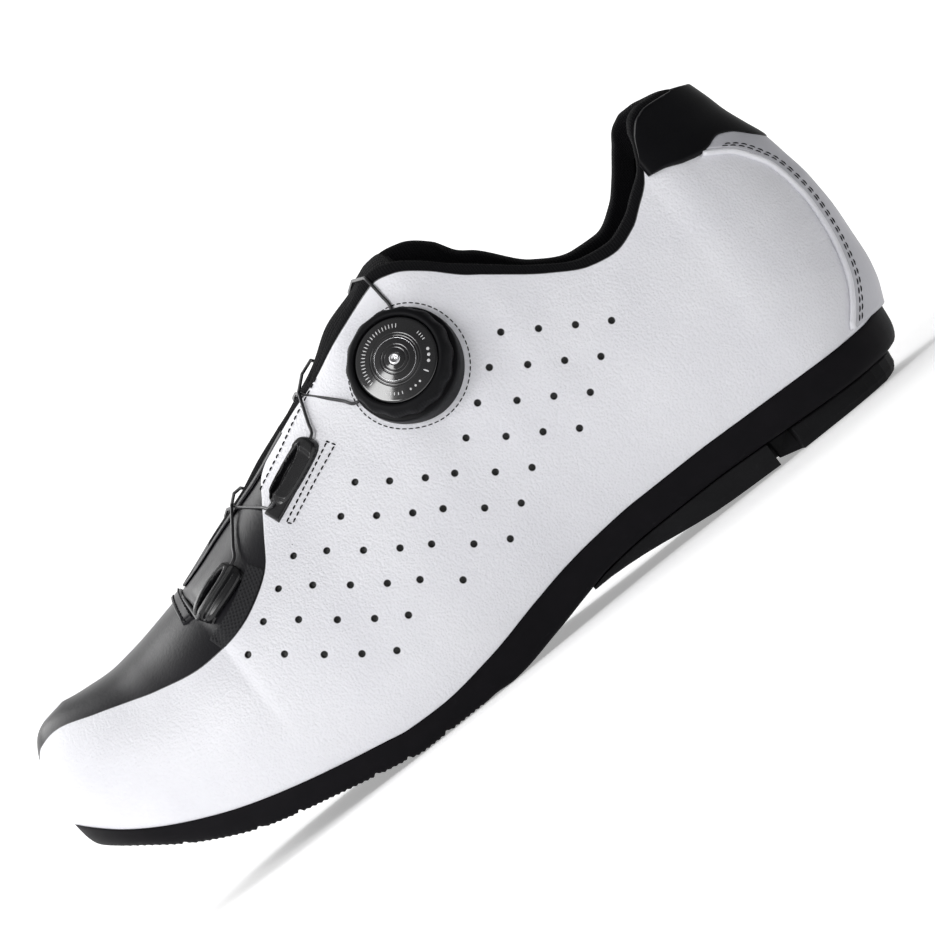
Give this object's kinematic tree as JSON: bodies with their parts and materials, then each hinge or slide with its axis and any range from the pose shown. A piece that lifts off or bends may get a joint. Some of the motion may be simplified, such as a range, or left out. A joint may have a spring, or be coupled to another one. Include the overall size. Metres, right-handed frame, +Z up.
{
  "type": "cycling shoe",
  "caption": "Left cycling shoe: hollow perforated lasted upper with wire lace and turning dial on a stiff sprung sole with midfoot and heel blocks.",
  "frame": {"origin": "On the floor under the middle of the heel block's flat, which is the mount heel_rest.", "axes": "+X from toe to heel, +Y to the medial side, +Z up. The toe points along -X and the lateral side faces -Y."},
  "size_m": [0.2864, 0.1007, 0.1201],
  "materials": {
    "white_leather": "fine grained synthetic leather, satin, with black smooth vamp and knit binding",
    "sole_rubber": "matte moulded rubber",
    "block_rubber": "matte moulded rubber",
    "insole_cloth": "brushed cloth",
    "tongue_mesh": "padded mesh",
    "counter_leather": "fine grained synthetic leather with silver piping",
    "patch_leather": "smooth synthetic leather, satin",
    "dial_plastic": "fine textured moulding",
    "grip_rubber": "soft ribbed moulding",
    "cap_plastic": "polished moulding with fine rings",
    "guide_plastic": "moulded plastic",
    "lace_wire": "coated twisted wire"
  },
  "bodies": {
    "root": {"upper": "white_leather", "outsole": "sole_rubber", "midfoot_block": "block_rubber", "heel_block": "block_rubber", "insole": "insole_cloth", "tongue": "tongue_mesh", "heel_counter": "counter_leather", "heel_patch": "patch_leather", "dial_base": "dial_plastic", "dial_grip": "grip_rubber", "dial_cap": "cap_plastic", "guide_lateral_upper": "guide_plastic", "guide_lateral_lower": "guide_plastic", "guide_medial_top": "guide_plastic", "guide_medial_upper": "guide_plastic", "guide_medial_lower": "guide_plastic", "lace_dial_run": "lace_wire", "lace_cross_upper": "lace_wire", "lace_cross_lower": "lace_wire", "lace_front_bar": "lace_wire"}
  },
  "joints": []
}
